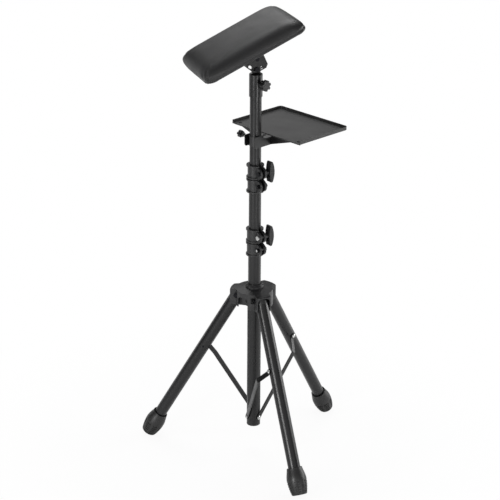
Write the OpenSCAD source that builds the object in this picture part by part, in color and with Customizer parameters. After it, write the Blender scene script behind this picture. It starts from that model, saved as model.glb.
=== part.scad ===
// Tattoo arm rest stand: a folding tripod, a telescoping mast with two clamp collars, a side
// tray on a tube clamp, and a padded arm rest on a head that tilts and turns.
// The floor is z = 0, and the origin is the middle of the footprint on the floor.

/* [Mast tubes] */
// Outside diameter of the column that the tripod hub slides on
column_d = 35; // [34:0.5:40]
// Wall of the column
column_wall = 1.3; // [1:0.1:2]
// Height of the column's lower end above the floor
column_bottom = 69.4; // [60:1:85]
// Wall of the lower mast tube, which stands in the column
lower_wall = 0.8; // [0.6:0.1:1.2]
// Wall of the middle mast tube
mid_wall = 0.8; // [0.6:0.1:1.2]
// Length of the middle mast tube
mid_len = 400; // [300:5:450]
// Wall of the top mast tube
top_wall = 1; // [0.7:0.1:1.5]
// Length of the top mast tube
top_len = 441; // [400:5:560]
// Radial gap between a tube and what slides or turns on it
slide_gap = 0.1; // [0.05:0.01:0.15]
// Length of the plastic guide inside the lower end of each sliding tube
guide_len = 25; // [15:1:40]
// Thickness of the rim of each guide and of the column's end plug
guide_rim = 6; // [3:0.5:8]

/* [Clamp collars] */
// Height of the lower collar's bottom
lower_collar_z = 544; // [535:1:560]
// Height of the upper collar's bottom
upper_collar_z = 712; // [700:1:740]
// Height of a collar
collar_h = 70.5; // [60:0.5:80]
// Outside diameter of the collar's flanges
flange_d = 44; // [40:1:50]
// Thickness of a flange
flange_t = 3.6; // [2:0.1:6]
// Wall of the collar's barrel round the outer tube
barrel_wall = 3.6; // [2:0.1:5]
// Height of the groove between the two clamp zones
collar_groove = 2.4; // [1:0.1:4]
// Direction in which the collar's ears point, in degrees from +X
ear_azimuth = -52; // [-180:1:180]
// Distance of the clamp bolt from the mast's axis
clamp_bolt_r = 27; // [26:0.5:30]
// Reach of the ears from the mast's axis
ear_reach = 35; // [33:0.5:40]
// Thickness of one ear
ear_t = 5.5; // [4:0.5:8]
// Gap between the two ears
ear_gap = 8; // [4:0.5:9]
// Diameter of the clamp bolts
clamp_bolt_d = 6; // [5:0.5:8]
// Tip to tip height of a wing knob
wing_h = 52; // [40:1:54]
// Thickness of a wing knob at its middle
wing_t = 14; // [10:0.5:18]
// Thickness of a wing knob at its tips
wing_tip_t = 4.5; // [3:0.5:9]
// How far the tips bend away from the collar
wing_rise = 3.6; // [3.2:0.1:5]
// Width of a wing knob
wing_w = 17; // [12:0.5:22]
// Length of the wing knob's stem
wing_stem = 9; // [6:0.5:14]

/* [Tripod hub] */
// Distance of the leg pivots from the mast's axis
pivot_r = 42; // [42:0.5:46]
// Height of the leg pivots above the floor, legs spread
pivot_z = 435.5; // [420:0.5:450]
// Height of the hub's skirt below the leg pivots
hub_skirt = 26; // [20:0.5:30]
// Height of the hub's shoulder above the leg pivots
hub_shoulder = 14.5; // [10:0.5:16]
// Height of the crown of the hub's dome above the leg pivots
hub_crown = 20.5; // [19:0.5:24]
// Wall of the hub
hub_wall = 2.8; // [2.5:0.1:4]
// Radius of the hub between its arms
hub_r = 47; // [44:0.5:50]
// Gap on each side of a leg in its pocket
pocket_gap = 0.5; // [0.3:0.1:1]
// Gap between a leg and the end wall of its pocket
pocket_end_gap = 0.5; // [0.4:0.1:1.5]
// Width of the arched windows between the arms
hub_window_w = 34; // [20:1:36]
// Outside diameter of the collar ring on top of the hub
hub_ring_d = 46; // [44:1:50]
// Height of the collar ring on top of the hub
hub_ring_h = 8; // [4:0.5:10]
// Diameter of the leg pivot bolts
pivot_bolt_d = 8; // [6:0.5:8]
// Height of the zinc lock ring on top of the collar ring
lock_ring_h = 2; // [1:0.5:3]
// Height of each pocket's arched opening above the leg pivot
pocket_arch = 10.5; // [4:0.5:11]

/* [Legs] */
// Outside diameter of a leg
leg_d = 31; // [29:0.5:32]
// Wall of a leg
leg_wall = 1.2; // [1:0.1:2]
// Distance of a foot's end from the mast's axis, legs spread
foot_reach = 285; // [260:1:300]
// Height of the centre of a foot's end above the floor
foot_end_z = 7.1; // [6.8:0.1:7.6]
// Direction of the right leg, in degrees from +X
right_azimuth = 46; // [40:1:50]
// Direction of the left leg
left_azimuth = 167; // [162:1:172]
// Direction of the front leg
front_azimuth = -66; // [-72:1:-62]
// Length of the plug that a leg's cap has inside the tube
cap_plug = 22; // [10:1:40]
// Length of the cap below the pivot
cap_skirt = 12; // [8:1:18]

/* [Feet] */
// Length of a foot
foot_len = 68; // [60:1:80]
// Diameter of a foot at its mouth
foot_mouth_d = 38.4; // [36:0.5:42]
// Largest diameter of a foot
foot_max_d = 50; // [46:0.5:54]
// Diameter of a foot at its end
foot_end_d = 38.6; // [36:0.5:42]
// Distance of the widest ring from the foot's end
foot_max_at = 37; // [30:1:45]
// Thickness of rubber below the leg's end
foot_floor = 10; // [6:1:14]
// Number of grooves round the lower part of a foot
foot_grooves = 5; // [3:1:6]
// Depth of a groove
foot_groove_depth = 1.8; // [1:0.1:2.5]
// Number of bars that cross the grooves
foot_bars = 8; // [4:1:10]
// Width of a bar
foot_bar_w = 6; // [3:0.5:8]

/* [Braces] */
// Height of the rivets that hold the braces to the column
column_rivet_z = 89.4; // [86:0.2:100]
// Distance along the leg from its pivot to the brace's rivet
leg_rivet_at = 179.4; // [160:0.5:190]
// Width of a brace
brace_w = 12.5; // [10:0.5:14]
// Thickness of a brace
brace_t = 2.5; // [2:0.1:3]
// Distance of the right and front braces' bends from the radial planes of their legs
brace_bow = 37; // [28:0.5:38]
// Distance of the left brace's bend from the radial plane of its leg
left_brace_bow = 22; // [20:0.5:38]
// Place of the bend along the brace, as a share of its length
brace_bend_share = 0.83; // [0.7:0.01:0.86]
// Diameter of the brace rivets
rivet_d = 6; // [5:0.5:7]
// Diameter of a rivet's head
rivet_head_d = 11; // [9:0.5:12]
// Thickness of a rivet's head
rivet_head_t = 2.4; // [1.5:0.1:3]

/* [Tray] */
// Height of the tray's floor
tray_z = 854; // [850:0.5:870]
// Width of the tray along its mast-side edge
tray_w = 234; // [220:1:260]
// Depth of the tray away from the mast
tray_depth = 170; // [150:1:200]
// Distance of the mast-side edge from the mast's axis
tray_offset = 34.6; // [33:0.2:40]
// Thickness of the tray's sheet
tray_t = 1.4; // [1:0.1:2]
// Height of the rim on the three outer edges
tray_rim = 7; // [4:0.5:20]
// Depth of the turned-down lip on the mast-side edge
tray_lip = 2.6; // [2:0.2:6]
// Radius of the tray's outer corners
tray_corner = 9; // [6:0.5:15]
// Direction in which the tray reaches out from the mast
tray_azimuth = 44.6; // [0:0.2:90]

/* [Tray clamp] */
// Thickness of the clamp's sheet steel
clamp_t = 2.2; // [1.5:0.1:3]
// Height of the clamp's cheeks
cheek_h = 29; // [24:0.5:36]
// Height of the cheeks' tops above the tray's floor
cheek_rise = 4.5; // [0:0.5:6]
// Reach of the cheeks past the mast's axis
cheek_reach = 20; // [16:0.5:24]
// Distance of the gusset's ends from the tray's sides
gusset_inset = 33; // [20:1:50]
// Distance of the flange's ends from the tray's sides
flange_inset = 7; // [4:1:12]
// Depth of the flange under the tray
flange_depth = 20; // [14:0.5:30]
// Distance of the outer tray screws from the tray's sides
screw_inset = 16; // [14:1:26]
// Diameter of the tray screws
screw_d = 4; // [3:0.5:5]
// Diameter of a screw's head
screw_head_d = 8; // [6:0.5:9]
// Thickness of a screw's head
screw_head_t = 1.6; // [1:0.1:3]
// Thickness of the plastic liner between the mast and the clamp
liner_t = 1.3; // [1:0.1:2]
// Diameter of the star knob over its lobes
star_d = 18; // [16:0.5:26]
// Thickness of the star knob
star_t = 9; // [8:0.5:14]
// Length of the star knob's neck
star_neck = 9; // [4:0.5:12]
// Distance of the star knob's outer face from the mast's axis
star_reach = 56; // [50:0.5:62]

/* [Arm rest socket] */
// Height of the socket's lower end
socket_z = 956; // [954:1:970]
// Length of the socket's sleeve
socket_h = 55; // [45:1:60]
// Wall of the socket's sleeve
socket_wall = 1.95; // [1.5:0.05:2.5]
// Depth of the head's plug in the sleeve
head_plug = 8; // [5:0.5:12]
// Height of the head's low dome above the sleeve
head_dome = 3.6; // [2:0.2:4.4]
// Thickness of the head's tongue
tongue_t = 7; // [5:0.5:9]
// Width of the head's tongue
tongue_w = 21; // [16:0.5:24]
// Direction in which the socket's knob points
socket_knob_azimuth = -48; // [-120:1:60]
// Height of the socket's knob above the sleeve's lower end
socket_knob_h = 33.5; // [20:0.5:38]
// Diameter of the socket's knob over its lobes
socket_knob_d = 27; // [22:0.5:30]
// Thickness of the socket's knob
socket_knob_t = 12; // [8:0.5:15]
// Distance of the knob's outer face from the mast's axis
socket_knob_reach = 39; // [36:0.5:46]

/* [Tilting head] */
// Height of the tilt pivot
tilt_z = 1050; // [1048:0.5:1060]
// Distance from the tilt pivot to the underside of the pad
pad_rise = 35.5; // [34:0.5:50]
// Radius of the arc slot
slot_r = 26; // [24:0.5:26]
// Start of the arc slot, in degrees from straight below the pivot, pad level
slot_from = -8; // [-12:1:0]
// End of the arc slot
slot_to = 70; // [60:1:75]
// Thickness of the bracket's sheet steel
bracket_t = 2.5; // [2:0.1:3]
// Diameter of the pivot bolt and the lock bolt
tilt_bolt_d = 6; // [5:0.5:6]

/* [Pad] */
// Direction of the pad's long axis
pad_heading = 20.4; // [-90:0.2:90]
// Tilt of the pad, its right end up
pad_tilt = 24.6; // [0:0.2:60]
// Length of the pad
pad_len = 273; // [240:1:300]
// Width of the pad
pad_w = 179; // [150:1:185]
// Shift of the pad's middle towards its low end
pad_shift = 12.2; // [0:0.2:40]
// Radius of the pad's corners
pad_corner = 26; // [20:1:40]
// Thickness of the wrapped base board
board_t = 8; // [6:0.5:12]
// Height of the cushion's crown above the base board
cushion_h = 30.5; // [20:0.5:40]
// How far the cushion's top leans towards the pad's low end
cushion_lean = 9; // [0:0.5:12]
// How far the cushion's long sides bulge at mid-height
cushion_bulge = 2.5; // [0:0.1:4]
// How far the seam on the base board draws in
cushion_seam = 1.9; // [0.5:0.1:3]
// How far the crown's rim is set in at the pad's low end
crown_low_inset = 28; // [15:0.5:34]
// How far the crown's rim is set in at the pad's high end
crown_high_inset = 17.5; // [10:0.5:34]
// How far the crown's rim is set in along the near side
crown_near_inset = 30; // [10:0.5:36]
// How far the crown's rim is set in along the far side
crown_far_inset = 12.5; // [8:0.5:36]

/* [Hidden] */
$fn = 96;

// Overrun of every cut, and gaps that several pieces share
over = 1;
pin_gap = 0.06;
fit_gap = 0.05;
soft_gap = 0.3;
tip_gap = 0.3;
touch_gap = 0.1;

// Tube radii, from the column inwards
column_r = column_d/2;
lower_r = column_r - column_wall - slide_gap;
lower_ri = lower_r - lower_wall;
mid_r = lower_ri - slide_gap;
mid_ri = mid_r - mid_wall;
top_r = mid_ri - slide_gap;
top_ri = top_r - top_wall;
leg_r = leg_d/2;

// Heights along the mast
collar_split = collar_h/2;
lower_top = lower_collar_z + collar_split;
mid_top = upper_collar_z + collar_split;
mid_bottom = mid_top - mid_len;
socket_top = socket_z + socket_h;
top_top = socket_top - head_plug;
top_bottom = top_top - top_len;

// Radius of an arc of the given rise and chord
function arc_radius(rise, chord) = (rise*rise + chord*chord/4)/(2*rise);

// Collar and wing knob
flange_r = flange_d/2;
ear_out = ear_gap/2 + ear_t;
bolt_r = clamp_bolt_d/2;
nut_t = clamp_bolt_d*2/3;
hex_r = clamp_bolt_d*0.95;
zone_h = collar_split - flange_t - collar_groove/2;
low_zone_z = flange_t + zone_h/2;
up_zone_z = collar_h - flange_t - zone_h/2;
bolt_lift_share = 0.06;
low_bolt_z = low_zone_z + zone_h*bolt_lift_share;
up_bolt_z = up_zone_z + zone_h*bolt_lift_share;
wing_in = ear_out + touch_gap;
wing_out = wing_in + wing_stem + wing_t;
wing_drop = wing_t - wing_tip_t - wing_rise;
wing_arc_r = arc_radius(wing_drop, wing_h);
wing_back_r = arc_radius(wing_rise, wing_h);

// Hub
hub_bottom = pivot_z - hub_skirt;
hub_shoulder_z = pivot_z + hub_shoulder;
hub_crown_z = pivot_z + hub_crown;
pocket_w = leg_d + 2*pocket_gap;
arm_w = pocket_w + 2*hub_wall;
arm_reach = pivot_r + leg_r + pocket_end_gap + hub_wall;
boss_r = pivot_r - leg_r - pocket_end_gap;
bush_seat_z = hub_crown_z - hub_wall;
bush_seat_r = hub_ring_d/2 - hub_wall;
shoulder_round = hub_wall*1.6;

// Leg directions, spread angle and length
leg_azimuths = [right_azimuth, left_azimuth, front_azimuth];
leg_tilt = atan((foot_reach - pivot_r)/(pivot_z - foot_end_z));
leg_len = norm([foot_reach - pivot_r, pivot_z - foot_end_z]);
foot_end_r = foot_end_d/2;

// Brace from its rivet on the column to its rivet on the leg
leg_rivet_r = pivot_r + leg_rivet_at*sin(leg_tilt);
leg_rivet_z = pivot_z - leg_rivet_at*cos(leg_tilt);
brace_len = norm([leg_rivet_r, leg_rivet_z - column_rivet_z]);
brace_tilt = atan(leg_rivet_r/(leg_rivet_z - column_rivet_z));
brace_bows = [brace_bow, left_brace_bow, brace_bow];
brace_low = column_r + soft_gap;
brace_top = leg_r + soft_gap;
rivet_r = rivet_d/2;

// Tray and its clamp
tray_far = tray_offset + tray_depth;
cheek_in = top_r + slide_gap + liner_t + slide_gap;
cheek_out = cheek_in + clamp_t;
plate_top = tray_z - tray_t;
cheek_top = tray_z + cheek_rise;
cheek_low = cheek_top - cheek_h;
web_v = tray_offset + tray_t + fit_gap;
star_z = cheek_top - cheek_h*0.36;
star_r = star_d/2;
liner_h = cheek_h*0.86;
plate_half_w = cheek_out*1.35;
flange_half_w = tray_w/2 - flange_inset;
gusset_half_w = tray_w/2 - gusset_inset;
screw_spacing = tray_w/2 - screw_inset;

// Head, bracket and pad
sleeve_ri = top_r + slide_gap;
sleeve_r = sleeve_ri + socket_wall;
tongue_half = tongue_t/2;
cheek_gap = tongue_half + slide_gap*3;
tilt_r = tilt_bolt_d/2;
tilt_head_t = tilt_bolt_d*0.6;
tilt_head_r = tilt_bolt_d*0.95;
base_len_shares = [-0.14, 0.085];
knob_valley_share = 0.77;
cap_crown_share = 0.68;
base_w = pad_w*0.34;

// Half-extent of the footprint towards a direction, from the feet and the tray's corners
function foot_support(az, dir) = foot_reach*cos(az - dir)
  + foot_end_r*sqrt(1 - pow(sin(leg_tilt)*cos(az - dir), 2));
function tray_support(u, v, dir) = u*sin(dir - tray_azimuth)*-1 + v*cos(dir - tray_azimuth);
function reach(dir) = max([for (az = leg_azimuths) foot_support(az, dir),
  for (u = [-tray_w/2, tray_w/2]) tray_support(u, tray_far, dir)]);
mast_x = (reach(180) - reach(0))/2;
mast_y = (reach(270) - reach(90))/2;

// Frames that the pieces are drawn in
module at_mast() translate([mast_x, mast_y, 0]) children();
// x is radial, y is a quarter turn further round
module leg_plane(i) at_mast() rotate([0, 0, leg_azimuths[i]]) children();
// z runs up along the leg, with the pivot at zero
module leg_frame(i) leg_plane(i) translate([pivot_r, 0, pivot_z]) rotate([0, -leg_tilt, 0]) children();
// z runs up along the brace, and +y is the side away from the leg
module brace_frame(i)
  leg_plane(i) translate([0, 0, column_rivet_z]) rotate([0, brace_tilt, 0])
    mirror([0, 1, 0]) children();
// x points at the ears, y lies along the clamp bolt
module collar_frame(z) at_mast() translate([0, 0, z]) rotate([0, 0, ear_azimuth]) children();
// x runs along the tray's mast-side edge, y away from the mast
module tray_frame() at_mast() rotate([0, 0, tray_azimuth - 90]) children();
// x runs along the pad towards its high end, z is square to the pad, origin on the tilt pivot
module tilt_frame()
  at_mast() translate([0, 0, tilt_z]) rotate([0, 0, pad_heading]) rotate([0, -pad_tilt, 0]) children();
module head_frame() at_mast() translate([0, 0, tilt_z]) rotate([0, 0, pad_heading]) children();
module socket_knob_frame()
  at_mast() translate([0, 0, socket_z + socket_knob_h]) rotate([0, 0, socket_knob_azimuth])
    rotate([0, 90, 0]) children();
// z points away from the mast along the star knob's screw
module on_cheek() translate([0, 0, star_z]) rotate([0, -90, 0]) children();

// Simple solids used by several pieces
module tube(r, ri, z, h) translate([0, 0, z]) difference() {
  cylinder(r = r, h = h);
  translate([0, 0, -over]) cylinder(r = ri, h = h + 2*over);
}
module y_cylinder(r, y1, y2) translate([0, y2, 0]) rotate([90, 0, 0]) cylinder(r = r, h = y2 - y1);
module y_hex(r, y1, y2) translate([0, y2, 0]) rotate([90, 0, 0]) cylinder(r = r, h = y2 - y1, $fn = 6);
// Domed rivet head on the plane y = y1, rising towards +y
module y_rivet_head(y1) translate([0, y1, 0]) rotate([-90, 0, 0])
  rotate_extrude() intersection() {
    translate([0, rivet_head_t - rivet_dome_r]) circle(r = rivet_dome_r);
    square([rivet_head_d/2, rivet_head_t]);
  }
rivet_dome_r = (rivet_head_t*rivet_head_t + rivet_head_d*rivet_head_d/4)/(2*rivet_head_t);
module guide(z, r, ri) translate([0, 0, z]) {
  translate([0, 0, -guide_rim]) cylinder(r = r, h = guide_rim);
  tube(ri - slide_gap, ri - slide_gap - guide_rim/2, 0, guide_len);
}

// Mast tubes
module column_tube() color("#262626") at_mast() difference() {
  tube(column_r, column_r - column_wall, column_bottom, bush_seat_z - touch_gap - column_bottom);
  for (az = leg_azimuths) rotate([0, 0, az]) translate([0, 0, column_rivet_z])
    y_cylinder(rivet_r + fit_gap, -column_d, 0);
}
module lower_tube() color("#2b2b2b") at_mast() difference() {
  tube(lower_r, lower_ri, column_bottom, lower_top - column_bottom);
  for (az = leg_azimuths) rotate([0, 0, az]) translate([0, 0, column_rivet_z])
    y_cylinder(rivet_r + fit_gap, -column_d, 0);
}
module column_plug() color("#1b1b1b") at_mast() {
  translate([0, 0, column_bottom - guide_rim/2]) cylinder(r = column_r, h = guide_rim/2);
  translate([0, 0, column_bottom]) cylinder(r = lower_ri - fit_gap, h = guide_rim*1.5);
}
module column_rivets() color("#c8c8c8") for (i = [0:2])
  leg_plane(i) translate([0, 0, column_rivet_z]) mirror([0, 1, 0]) {
    y_cylinder(rivet_r, lower_ri - lower_wall*2, brace_low + brace_t + touch_gap);
    y_rivet_head(brace_low + brace_t + touch_gap);
  }
module mid_guide() color("#1b1b1b") at_mast() guide(mid_bottom, mid_r, mid_ri);
module mid_tube() color("#2b2b2b") at_mast() tube(mid_r, mid_ri, mid_bottom, mid_len);
module top_guide() color("#1b1b1b") at_mast() guide(top_bottom, top_r, top_ri);
module top_tube() color("#2b2b2b") at_mast() tube(top_r, top_ri, top_bottom, top_len);

// Clamp collar: the lower zone holds the outer tube, the upper zone squeezes the sliding one
module ear_plate(z, y1) intersection() {
  translate([0, y1, z - zone_h/2 - fit_gap]) cube([ear_reach, ear_t, zone_h + 2*fit_gap]);
  union() {
    translate([0, y1 - over, z - zone_h]) cube([ear_reach - zone_h/2, ear_t + 2*over, 2*zone_h]);
    translate([ear_reach - zone_h/2, 0, z]) y_cylinder(zone_h/2 + fit_gap, y1 - over, y1 + ear_t + over);
  }
}
module collar(r_low, r_up) {
  barrel_r = r_low + barrel_wall;
  difference() {
    union() {
      cylinder(r = barrel_r, h = collar_h);
      for (z = [0, collar_split - collar_groove/2 - flange_t, collar_split + collar_groove/2,
        collar_h - flange_t]) translate([0, 0, z]) cylinder(r = flange_r, h = flange_t);
      for (z = [low_zone_z, up_zone_z], side = [0, 1]) mirror([0, side, 0]) ear_plate(z, ear_gap/2);
    }
    translate([0, 0, -over]) cylinder(r = r_low + fit_gap, h = collar_split + over);
    cylinder(r = r_up + slide_gap, h = collar_h + over);
    translate([0, -ear_gap/2, -over]) cube([ear_reach + over, ear_gap, collar_h + 2*over]);
    tube(flange_r + over, r_low + barrel_wall/2, collar_split - collar_groove/2, collar_groove);
    for (z = [low_bolt_z, up_bolt_z]) translate([clamp_bolt_r, 0, z])
      y_cylinder(bolt_r + fit_gap, -ear_out - over, ear_out + over);
  }
}
// Bolt with a round head on the near side, which the wing knob screws on to
module clamp_bolt() translate([clamp_bolt_r, 0, up_bolt_z]) {
  y_cylinder(bolt_r, -ear_out, wing_in + wing_stem);
  y_cylinder(hex_r, -ear_out - nut_t, -ear_out);
}
// Short bolt with a hex head, and its nut, that fix the collar to its own tube
module collar_bolt() translate([clamp_bolt_r, 0, low_bolt_z]) {
  y_cylinder(bolt_r, -ear_out - nut_t*1.4, ear_out);
  y_hex(hex_r, ear_out, ear_out + nut_t);
}
module collar_nut() translate([clamp_bolt_r, 0, low_bolt_z]) difference() {
  y_hex(hex_r, -ear_out - nut_t, -ear_out);
  y_cylinder(bolt_r + fit_gap, -2*ear_out, 0);
}
// Lens-shaped wing on a round stem, its tips bent away from the collar
module wing_knob() translate([clamp_bolt_r, 0, up_bolt_z]) difference() {
  union() {
    y_cylinder(wing_w*0.36, wing_in, wing_in + wing_stem + wing_rise);
    intersection() {
      translate([-wing_w/2, wing_in + wing_stem, -wing_h/2]) cube([wing_w, wing_t, wing_h]);
      rotate([0, 90, 0]) translate([0, wing_out - wing_arc_r, -wing_w])
        cylinder(r = wing_arc_r, h = 2*wing_w);
      rotate([0, 90, 0]) translate([0, wing_in + wing_stem + wing_back_r, -wing_w])
        cylinder(r = wing_back_r, h = 2*wing_w);
    }
  }
  y_cylinder(bolt_r + pin_gap, wing_in - over, wing_in + wing_stem + tip_gap);
}
module lower_collar() color("#1e1e1e") collar_frame(lower_collar_z) collar(lower_r, mid_r);
module lower_clamp_bolt() color("#c8c8c8") collar_frame(lower_collar_z) clamp_bolt();
module lower_collar_bolt() color("#8a8a8a") collar_frame(lower_collar_z) collar_bolt();
module lower_collar_nut() color("#8a8a8a") collar_frame(lower_collar_z) collar_nut();
module lower_wing_knob() color("#161616") collar_frame(lower_collar_z) wing_knob();
module upper_collar() color("#1e1e1e") collar_frame(upper_collar_z) collar(mid_r, top_r);
module upper_clamp_bolt() color("#c8c8c8") collar_frame(upper_collar_z) clamp_bolt();
module upper_collar_bolt() color("#8a8a8a") collar_frame(upper_collar_z) collar_bolt();
module upper_collar_nut() color("#8a8a8a") collar_frame(upper_collar_z) collar_nut();
module upper_wing_knob() color("#161616") collar_frame(upper_collar_z) wing_knob();

// Tripod hub: a domed casting with three arms, each a pocket that a leg swings in
module hub_turned(inset) rotate_extrude() polygon(concat(
  [[0, hub_bottom - (inset > 0 ? over : 0)], [arm_reach - inset + over, hub_bottom - (inset > 0 ? over : 0)]],
  [for (a = [0:15:75]) [arm_reach - inset + over - shoulder_round*(1 - cos(a)),
    hub_shoulder_z - inset - shoulder_round*(1 - sin(a))]],
  [[hub_ring_d/2, hub_crown_z - inset], [0, hub_crown_z - inset]]));
module hub_arm(half_w, end) translate([0, -half_w, hub_bottom - over])
  cube([end, 2*half_w, hub_skirt + hub_crown + 2*over]);
module hub_body() difference() {
  intersection() {
    hub_turned(0);
    union() {
      translate([0, 0, hub_bottom]) cylinder(r = hub_r, h = hub_crown + hub_skirt);
      for (az = leg_azimuths) rotate([0, 0, az]) intersection() {
        hub_arm(arm_w/2, arm_reach);
        translate([0, 0, hub_bottom]) cylinder(r = arm_reach + hub_wall/2, h = hub_crown + hub_skirt);
      }
    }
  }
  difference() {
    intersection() {
      hub_turned(hub_wall);
      union() {
        difference() {
          translate([0, 0, hub_bottom - over]) cylinder(r = hub_r - hub_wall, h = hub_crown + hub_skirt);
          for (az = leg_azimuths) rotate([0, 0, az]) hub_arm(arm_w/2, arm_reach);
        }
        for (az = leg_azimuths) rotate([0, 0, az]) hub_arm(pocket_w/2, arm_reach - hub_wall);
      }
    }
    translate([0, 0, hub_bottom - 2*over]) cylinder(r = boss_r, h = hub_crown + hub_skirt);
  }
}
// Arched opening through a wall, open at the bottom, with its crown at the height top
module arch(x, w, rise, top, depth) translate([x, 0, 0]) {
  translate([0, -w/2, hub_bottom - over]) cube([depth, w, top - rise - hub_bottom + over]);
  translate([0, 0, top - rise]) rotate([90, 0, 90]) linear_extrude(depth) intersection() {
    scale([1, 2*rise/w]) circle(r = w/2);
    translate([-w/2, -over]) square([w, rise + over]);
  }
}
module hub_window(az) rotate([0, 0, az])
  arch(boss_r + hub_wall, hub_window_w, hub_window_w*0.3, pivot_z + hub_shoulder*0.3, hub_r);
module hub() color("#232323") at_mast() difference() {
  hub_body();
  translate([0, 0, hub_bottom - over]) cylinder(r = column_r + slide_gap, h = hub_skirt + hub_crown);
  translate([0, 0, bush_seat_z]) cylinder(r = bush_seat_r + fit_gap, h = hub_crown);
  for (az = leg_azimuths) rotate([0, 0, az]) {
    arch(pivot_r, pocket_w, pocket_arch, pivot_z + pocket_arch, arm_reach);
    translate([pivot_r, 0, pivot_z]) {
      y_cylinder(pivot_bolt_d/2 + fit_gap, -arm_w, arm_w);
      for (s = [0, 1]) mirror([0, s, 0]) y_cylinder(pivot_bolt_d, arm_w/2, arm_w/2 + pivot_bolt_d);
    }
  }
  hub_window((left_azimuth + front_azimuth + 360)/2);
  hub_window((right_azimuth + left_azimuth)/2);
}
module hub_bush() color("#191919") at_mast() difference() {
  union() {
    translate([0, 0, bush_seat_z]) cylinder(r = bush_seat_r, h = hub_wall + fit_gap);
    translate([0, 0, hub_crown_z]) cylinder(r = hub_ring_d/2, h = hub_ring_h/2);
    translate([0, 0, hub_crown_z + hub_ring_h/2])
      cylinder(r1 = hub_ring_d/2, r2 = hub_ring_d/2 - hub_ring_h/2, h = hub_ring_h/2);
  }
  translate([0, 0, bush_seat_z - over]) cylinder(r = lower_r + slide_gap, h = hub_wall + hub_ring_h + 2*over);
}
module hub_lock_ring() color("#b8b8b8") at_mast()
  tube(lower_r + hub_wall, lower_r + slide_gap*2, hub_crown_z + hub_ring_h, lock_ring_h);
module hub_pivot_bolts() color("#9a9a9a") for (i = [0:2])
  leg_plane(i) translate([pivot_r, 0, pivot_z]) {
    y_cylinder(pivot_bolt_d/2, -arm_w/2, arm_w/2 + pivot_bolt_d*0.7);
    y_cylinder(pivot_bolt_d*0.82, -arm_w/2 - pivot_bolt_d*0.4, -arm_w/2);
  }
module hub_pivot_nuts() color("#9a9a9a") for (i = [0:2])
  leg_plane(i) translate([pivot_r, 0, pivot_z]) difference() {
    y_hex(pivot_bolt_d*0.9, arm_w/2, arm_w/2 + pivot_bolt_d*0.6);
    y_cylinder(pivot_bolt_d/2 + fit_gap, 0, arm_w);
  }

// Legs
module leg_tube(i) color("#2b2b2b") leg_frame(i) difference() {
  tube(leg_r, leg_r - leg_wall, -leg_len + foot_floor, leg_len - foot_floor - cap_skirt);
  translate([0, 0, -leg_rivet_at]) y_cylinder(rivet_r + fit_gap, -leg_d, leg_d);
}
// Rounded end of a leg, low enough to turn under the hub's roof
module cap_crown() rotate_extrude() intersection() {
  scale([1, cap_crown_share]) circle(r = leg_r);
  square([leg_r, leg_r]);
}
module leg_cap(i) color("#1b1b1b") leg_frame(i) difference() {
  union() {
    cap_crown();
    translate([0, 0, -cap_skirt]) cylinder(r = leg_r, h = cap_skirt);
    translate([0, 0, -cap_skirt - cap_plug]) cylinder(r = leg_r - leg_wall - fit_gap, h = cap_plug);
  }
  y_cylinder(pivot_bolt_d/2 + pin_gap, -leg_d, leg_d);
}
module leg_rivet(i) color("#2b2b2b") leg_frame(i) translate([0, 0, -leg_rivet_at])
  y_cylinder(rivet_r, -leg_r, leg_r);
// Outline of a foot without its grooves, as radius and height from the foot's end
foot_fillet = foot_groove_depth*0.8;
function foot_taper(z) = foot_end_r + (foot_max_d - foot_end_d)/2*sin(90*z/foot_max_at);
function foot_flare(t) = foot_mouth_d/2 + (foot_max_d - foot_mouth_d)/2*pow(cos(90*t), 1.4);
module foot_outline() polygon(concat(
  [[0, 0], [foot_end_r - foot_fillet, 0], [foot_end_r, foot_fillet]],
  [for (k = [1:5]) [foot_taper(foot_max_at*k/5), foot_max_at*k/5]],
  [for (k = [1:6]) [foot_flare(k/6), foot_max_at + (foot_len - foot_max_at)*k/6]],
  [[0, foot_len]]));
foot_pitch = (foot_max_at - foot_fillet)/(foot_grooves + 0.6);
module foot(i) color("#1a1a1a") leg_plane(i) difference() {
  translate([pivot_r, 0, pivot_z]) rotate([0, -leg_tilt, 0]) translate([0, 0, -leg_len]) difference() {
    rotate_extrude() foot_outline();
    translate([0, 0, foot_floor]) cylinder(r = leg_r + fit_gap, h = foot_len);
    translate([0, 0, foot_len - foot_groove_depth])
      cylinder(r = foot_mouth_d/2 - foot_groove_depth, h = foot_len);
    difference() {
      for (k = [1:foot_grooves]) translate([0, 0, k*foot_pitch]) rotate_extrude()
        translate([foot_taper(k*foot_pitch) - foot_groove_depth, 0])
          square([foot_max_d, foot_pitch*0.42]);
      for (k = [0:foot_bars - 1]) rotate([0, 0, 360*k/foot_bars])
        translate([0, -foot_bar_w/2, 0]) cube([foot_max_d, foot_bar_w, foot_len]);
    }
  }
  translate([0, -foot_max_d, -foot_max_d]) cube([foot_reach*2, 2*foot_max_d, foot_max_d]);
}

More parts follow.
